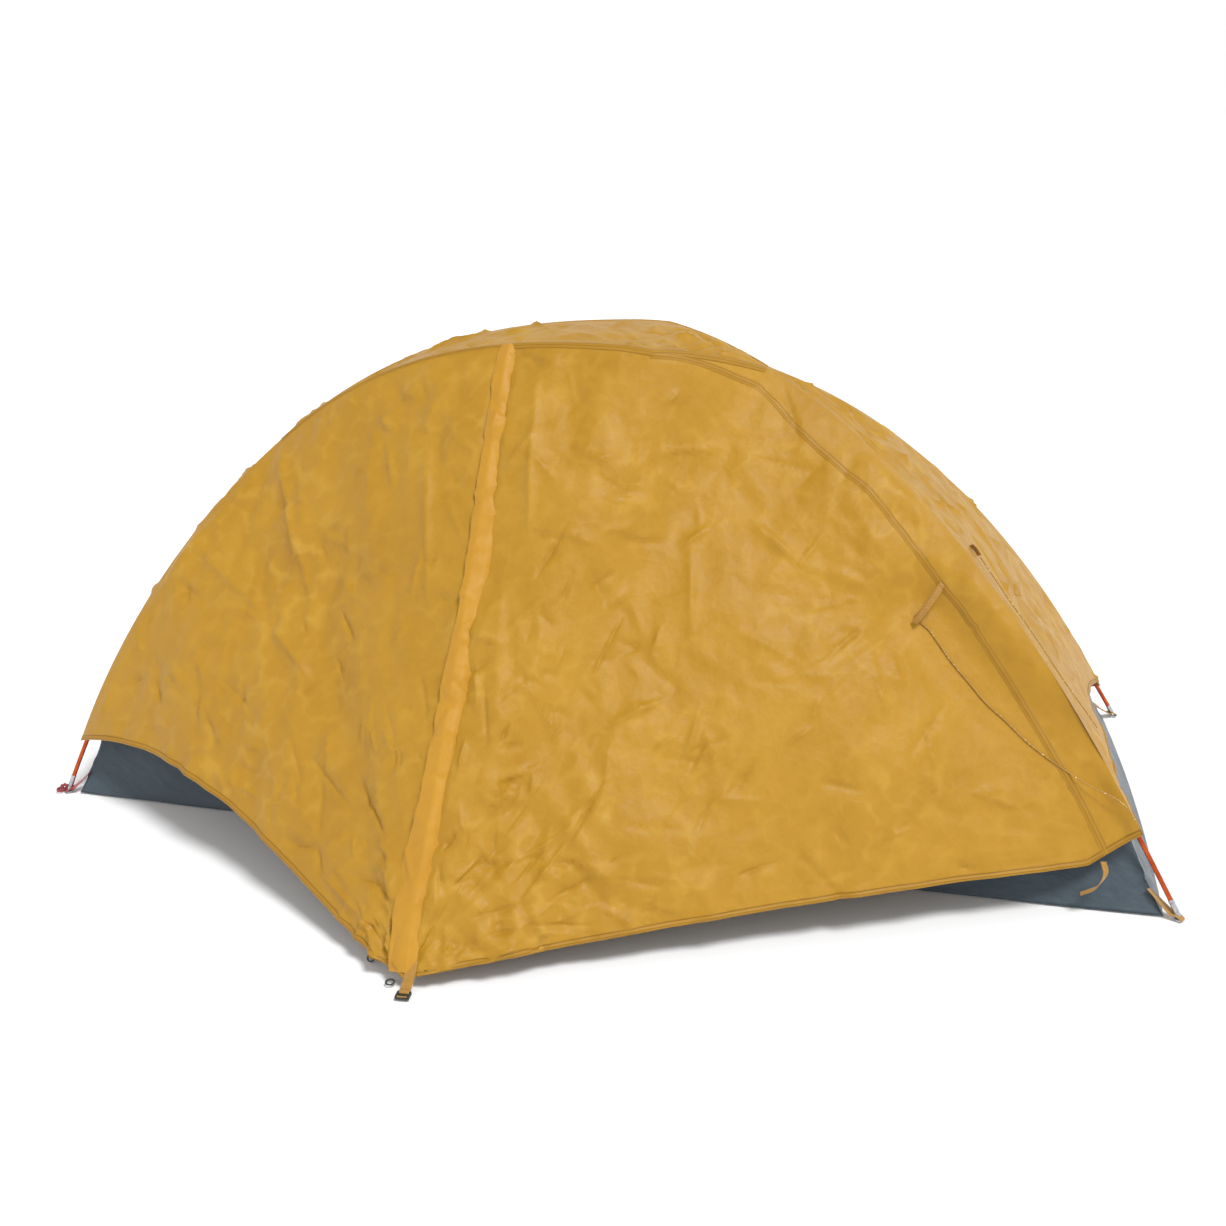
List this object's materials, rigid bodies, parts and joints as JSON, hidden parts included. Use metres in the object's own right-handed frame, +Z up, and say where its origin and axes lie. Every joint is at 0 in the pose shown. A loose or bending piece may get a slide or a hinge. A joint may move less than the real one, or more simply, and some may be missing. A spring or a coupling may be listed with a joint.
{
  "type": "tent",
  "caption": "Arched one-person camping tent with a hubbed pole frame, inner canopy, rain fly and a porch door that folds open.",
  "frame": {"origin": "middle of the floor's underside, on the ground", "axes": "+X towards the head end, +Y towards the back, +Z up; the porch is on -Y"},
  "size_m": [2.334, 1.3433, 0.9842],
  "materials": {
    "fly_cloth": "ripstop polyester with a light coating, golden ochre",
    "flap_cloth": "uncoated polyester, brighter ochre",
    "floor_cloth": "coated polyester, slate grey",
    "canopy_mesh": "fine polyester mesh, grey",
    "moulded_plastic": "moulded nylon",
    "pole_tube": "anodised alloy tube, orange-red",
    "bare_alloy": "bare alloy",
    "elastic_cord": "elastic cord with a braided cover",
    "red_webbing": "woven polyester webbing, red",
    "gold_webbing": "woven polyester webbing, gold",
    "grey_tape": "woven tape, grey",
    "gold_zip": "zip tape and nylon coil, gold",
    "grey_zip": "zip tape and nylon coil, grey",
    "slider_metal": "painted zinc",
    "gold_cord": "braided cord, gold",
    "buckle_plastic": "moulded acetal, black"
  },
  "bodies": {
    "tent": {"bathtub_floor": "floor_cloth", "canopy_back_wall": "canopy_mesh", "canopy_clips": "moulded_plastic", "canopy_foot_end": "canopy_mesh", "canopy_front_foot": "canopy_mesh", "canopy_front_head": "canopy_mesh", "canopy_front_header": "canopy_mesh", "canopy_head_end": "canopy_mesh", "clip_tapes": "grey_tape", "corner_grommets": "bare_alloy", "corner_stake_loops": "red_webbing", "corner_webbing_foot": "red_webbing", "corner_webbing_head": "gold_webbing", "cross_pole_saddle": "moulded_plastic", "fly_far_side": "fly_cloth", "fly_foot_end": "fly_cloth", "fly_head_end": "fly_cloth", "fly_head_shoulder": "fly_cloth", "fly_porch_foot_panel": "fly_cloth", "fly_roof": "fly_cloth", "foot_hub": "moulded_plastic", "foot_leg_far_1": "pole_tube", "foot_leg_far_2": "pole_tube", "foot_leg_near_1": "pole_tube", "foot_leg_near_2": "pole_tube", "guy_cord_head_end": "gold_cord", "guy_cord_porch_side": "gold_cord", "guy_loop_head_end": "gold_webbing", "guy_loop_porch_side": "gold_webbing", "head_hub": "moulded_plastic", "head_leg_far_1": "pole_tube", "head_leg_far_2": "pole_tube", "head_leg_far_3": "pole_tube", "head_leg_near_1": "pole_tube", "head_leg_near_2": "pole_tube", "head_leg_near_3": "pole_tube", "hem_tension_tape": "gold_webbing", "inner_door": "canopy_mesh", "inner_door_zip": "grey_zip", "pole_ferrules": "bare_alloy", "pole_tips": "bare_alloy", "porch_cord_loops": "elastic_cord", "ridge_section_1": "pole_tube", "ridge_section_2": "pole_tube", "ridge_section_3": "pole_tube", "shock_cord": "elastic_cord", "zip_tape_foot_side": "gold_zip"},
    "porch_door": {"fly_door": "fly_cloth", "storm_flap": "flap_cloth", "zip_tape_door_side": "gold_zip", "porch_stake_strap": "gold_webbing"},
    "buckle": {"ladder_buckle": "buckle_plastic"},
    "porch_slider": {"porch_zip_slider": "slider_metal"},
    "inner_slider": {"inner_door_slider": "slider_metal"},
    "cross_bar": {"cross_pole": "pole_tube", "cross_pole_caps": "moulded_plastic"}
  },
  "joints": [
    {"name": "porch_door_fold", "type": "hinge", "parent": "tent", "child": "porch_door", "pos_m": [-0.165, -0.09529, 0.97347], "axis": [-0.7729, 0.2259, 0.593], "range_deg": [0, 110]},
    {"name": "porch_slider_travel", "type": "slide", "parent": "tent", "child": "porch_slider", "axis": [0.041, 0.6244, 0.78], "range_m": [0, 1.09]},
    {"name": "inner_slider_travel", "type": "slide", "parent": "tent", "child": "inner_slider", "axis": [0, 0.3269, 0.945], "range_m": [0, 0.6]},
    {"name": "buckle_tilt", "type": "hinge", "parent": "porch_door", "child": "buckle", "pos_m": [-0.213, -0.87, 0.005], "axis": [-1, 0, 0], "range_deg": [0, 70]},
    {"name": "cross_bar_swivel", "type": "hinge", "parent": "tent", "child": "cross_bar", "pos_m": [0.121, 0, 0.97], "axis": [0, 0, 1], "range_deg": [-3, 3]}
  ]
}
